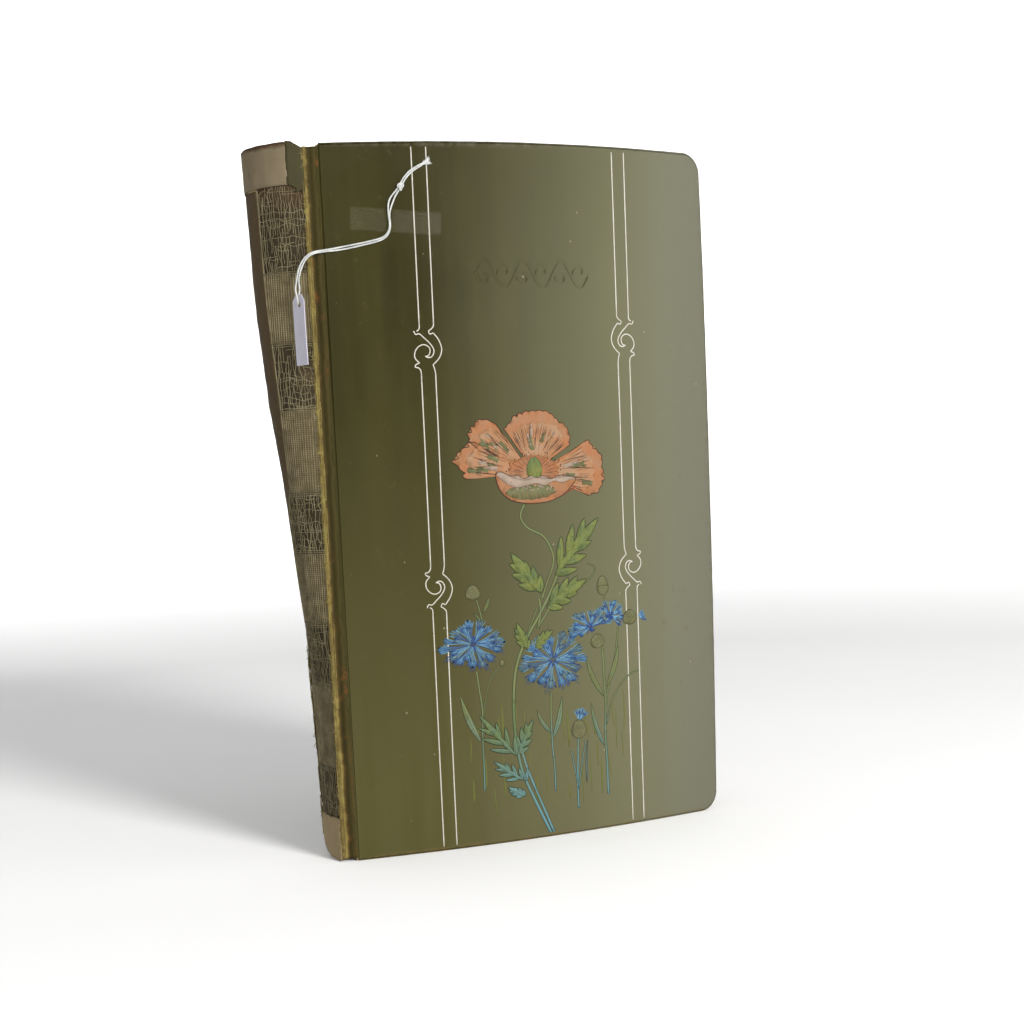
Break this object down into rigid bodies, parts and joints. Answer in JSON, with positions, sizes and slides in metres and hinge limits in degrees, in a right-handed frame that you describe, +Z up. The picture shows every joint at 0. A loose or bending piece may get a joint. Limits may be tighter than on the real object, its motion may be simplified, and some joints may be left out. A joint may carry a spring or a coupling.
{
  "type": "scrapbook album",
  "caption": "Tall case-bound scrapbook album standing upright, with hinged cloth covers, turning leaves, an exposed mull-lined spine and a string ticket taped to the front.",
  "frame": {"origin": "middle of the front cover's tail edge, in the middle of its thickness, on the standing plane", "axes": "+Z up from tail to head, +X from the spine to the fore-edge, +Y from the front cover to the back cover"},
  "size_m": [0.2633, 0.0818, 0.382],
  "materials": {
    "section_paper": "matt, aged",
    "leaf_card": "matt, browned at the edges",
    "mull_fine": "ribbed open weave, glued",
    "mull_torn": "ribbed open weave, torn",
    "lining_paper": "matt, brown",
    "head_patch_paper": "matt kraft",
    "tail_patch_paper": "matt kraft",
    "frayed_cloth": "frayed threads",
    "spine_cloth": "worn bookcloth",
    "board": "matt",
    "cover_cloth": "smooth olive bookcloth, slight sheen",
    "pastedown_paper": "matt",
    "clear_tape": "clear, slightly yellowed",
    "ticket_card": "smooth",
    "string_cotton": "matt cotton"
  },
  "bodies": {
    "text_block": {"section_1": "section_paper", "section_2": "section_paper", "section_3": "section_paper", "section_4": "section_paper", "section_5": "section_paper", "section_6": "section_paper", "section_7": "section_paper", "section_8": "section_paper", "mull_close_1": "mull_fine", "mull_close_2": "mull_fine", "mull_close_3": "mull_fine", "mull_close_4": "mull_fine", "mull_open_1": "mull_torn", "mull_open_2": "mull_torn", "mull_open_3": "mull_torn", "mull_open_4": "mull_torn", "mull_open_5": "mull_torn", "spine_lining": "lining_paper", "spine_cloth_remnant": "spine_cloth", "head_patch": "head_patch_paper", "tail_patch": "tail_patch_paper", "front_joint_cloth": "frayed_cloth", "back_joint_cloth": "frayed_cloth", "string_over_joint": "string_cotton", "string_drop": "string_cotton", "ticket": "ticket_card"},
    "front_cover": {"front_board": "board", "front_cover_cloth": "cover_cloth", "front_pastedown": "pastedown_paper", "adhesive_tape": "clear_tape", "string_on_cover": "string_cotton", "string_knot": "string_cotton"},
    "back_cover": {"back_board": "board", "back_cover_cloth": "cover_cloth", "back_pastedown": "pastedown_paper"},
    "leaf_01": {"leaf_01": "leaf_card"},
    "leaf_02": {"leaf_02": "leaf_card"},
    "leaf_03": {"leaf_03": "leaf_card"},
    "leaf_04": {"leaf_04": "leaf_card"},
    "leaf_05": {"leaf_05": "leaf_card"},
    "leaf_06": {"leaf_06": "leaf_card"},
    "leaf_07": {"leaf_07": "leaf_card"},
    "leaf_08": {"leaf_08": "leaf_card"},
    "leaf_09": {"leaf_09": "leaf_card"},
    "leaf_10": {"leaf_10": "leaf_card"},
    "leaf_11": {"leaf_11": "leaf_card"},
    "leaf_12": {"leaf_12": "leaf_card"},
    "leaf_13": {"leaf_13": "leaf_card"},
    "leaf_14": {"leaf_14": "leaf_card"},
    "leaf_15": {"leaf_15": "leaf_card"},
    "leaf_16": {"leaf_16": "leaf_card"}
  },
  "joints": [
    {"name": "front_cover_hinge", "type": "hinge", "parent": "text_block", "child": "front_cover", "pos_m": [-0.116, 0.0098, 0], "axis": [0, 0, -1], "range_deg": [0, 105], "deforming": ["string_over_joint"]},
    {"name": "back_cover_hinge", "type": "hinge", "parent": "text_block", "child": "back_cover", "pos_m": [-0.116, 0.0356, 0], "axis": [-0.0049, 0.0705, 0.9975], "range_deg": [0, 90]},
    {"name": "leaf_01_turn", "type": "hinge", "parent": "text_block", "child": "leaf_01", "pos_m": [-0.105, 0.01342, 0], "axis": [0, -0.0022, -1], "range_deg": [0, 96.61]},
    {"name": "leaf_02_turn", "type": "hinge", "parent": "text_block", "child": "leaf_02", "pos_m": [-0.105, 0.01466, 0], "axis": [0, -0.0067, -1], "range_deg": [0, 84.53]},
    {"name": "leaf_03_turn", "type": "hinge", "parent": "text_block", "child": "leaf_03", "pos_m": [-0.105, 0.01589, 0], "axis": [0.0001, -0.0111, -0.9999], "range_deg": [0, 72.46]},
    {"name": "leaf_04_turn", "type": "hinge", "parent": "text_block", "child": "leaf_04", "pos_m": [-0.105, 0.01713, 0], "axis": [0.0002, -0.0155, -0.9999], "range_deg": [0, 60.38]},
    {"name": "leaf_05_turn", "type": "hinge", "parent": "text_block", "child": "leaf_05", "pos_m": [-0.105, 0.01837, 0], "axis": [0.0004, -0.02, -0.9998], "range_deg": [0, 48.31]},
    {"name": "leaf_06_turn", "type": "hinge", "parent": "text_block", "child": "leaf_06", "pos_m": [-0.105, 0.01961, 0], "axis": [0.0006, -0.0244, -0.9997], "range_deg": [0, 36.23]},
    {"name": "leaf_07_turn", "type": "hinge", "parent": "text_block", "child": "leaf_07", "pos_m": [-0.105, 0.02084, 0], "axis": [0.0008, -0.0288, -0.9996], "range_deg": [0, 24.16]},
    {"name": "leaf_08_turn", "type": "hinge", "parent": "text_block", "child": "leaf_08", "pos_m": [-0.105, 0.02208, 0], "axis": [0.0011, -0.0333, -0.9994], "range_deg": [0, 12.09]},
    {"name": "leaf_09_turn", "type": "hinge", "parent": "text_block", "child": "leaf_09", "pos_m": [-0.105, 0.02332, 0], "axis": [-0.0014, 0.0377, 0.9993], "range_deg": [0, 10.36]},
    {"name": "leaf_10_turn", "type": "hinge", "parent": "text_block", "child": "leaf_10", "pos_m": [-0.105, 0.02456, 0], "axis": [-0.0017, 0.0421, 0.9991], "range_deg": [0, 20.71]},
    {"name": "leaf_11_turn", "type": "hinge", "parent": "text_block", "child": "leaf_11", "pos_m": [-0.105, 0.02579, 0], "axis": [-0.0021, 0.0465, 0.9989], "range_deg": [0, 31.06]},
    {"name": "leaf_12_turn", "type": "hinge", "parent": "text_block", "child": "leaf_12", "pos_m": [-0.105, 0.02703, 0], "axis": [-0.0026, 0.0509, 0.9987], "range_deg": [0, 41.41]},
    {"name": "leaf_13_turn", "type": "hinge", "parent": "text_block", "child": "leaf_13", "pos_m": [-0.105, 0.02827, 0], "axis": [-0.003, 0.0553, 0.9985], "range_deg": [0, 51.76]},
    {"name": "leaf_14_turn", "type": "hinge", "parent": "text_block", "child": "leaf_14", "pos_m": [-0.105, 0.02951, 0], "axis": [-0.0035, 0.0596, 0.9982], "range_deg": [0, 62.11]},
    {"name": "leaf_15_turn", "type": "hinge", "parent": "text_block", "child": "leaf_15", "pos_m": [-0.105, 0.03074, 0], "axis": [-0.0041, 0.064, 0.9979], "range_deg": [0, 72.46]},
    {"name": "leaf_16_turn", "type": "hinge", "parent": "text_block", "child": "leaf_16", "pos_m": [-0.105, 0.03198, 0], "axis": [-0.0046, 0.0684, 0.9977], "range_deg": [0, 82.81]}
  ],
  "couplings": [
    {"joint": "leaf_01_turn", "follows": "front_cover_hinge", "ratio": 0.92},
    {"joint": "leaf_02_turn", "follows": "front_cover_hinge", "ratio": 0.805},
    {"joint": "leaf_03_turn", "follows": "front_cover_hinge", "ratio": 0.69},
    {"joint": "leaf_04_turn", "follows": "front_cover_hinge", "ratio": 0.575},
    {"joint": "leaf_05_turn", "follows": "front_cover_hinge", "ratio": 0.46},
    {"joint": "leaf_06_turn", "follows": "front_cover_hinge", "ratio": 0.345},
    {"joint": "leaf_07_turn", "follows": "front_cover_hinge", "ratio": 0.23},
    {"joint": "leaf_08_turn", "follows": "front_cover_hinge", "ratio": 0.115},
    {"joint": "leaf_09_turn", "follows": "back_cover_hinge", "ratio": 0.115},
    {"joint": "leaf_10_turn", "follows": "back_cover_hinge", "ratio": 0.23},
    {"joint": "leaf_11_turn", "follows": "back_cover_hinge", "ratio": 0.345},
    {"joint": "leaf_12_turn", "follows": "back_cover_hinge", "ratio": 0.46},
    {"joint": "leaf_13_turn", "follows": "back_cover_hinge", "ratio": 0.575},
    {"joint": "leaf_14_turn", "follows": "back_cover_hinge", "ratio": 0.69},
    {"joint": "leaf_15_turn", "follows": "back_cover_hinge", "ratio": 0.805},
    {"joint": "leaf_16_turn", "follows": "back_cover_hinge", "ratio": 0.92}
  ]
}
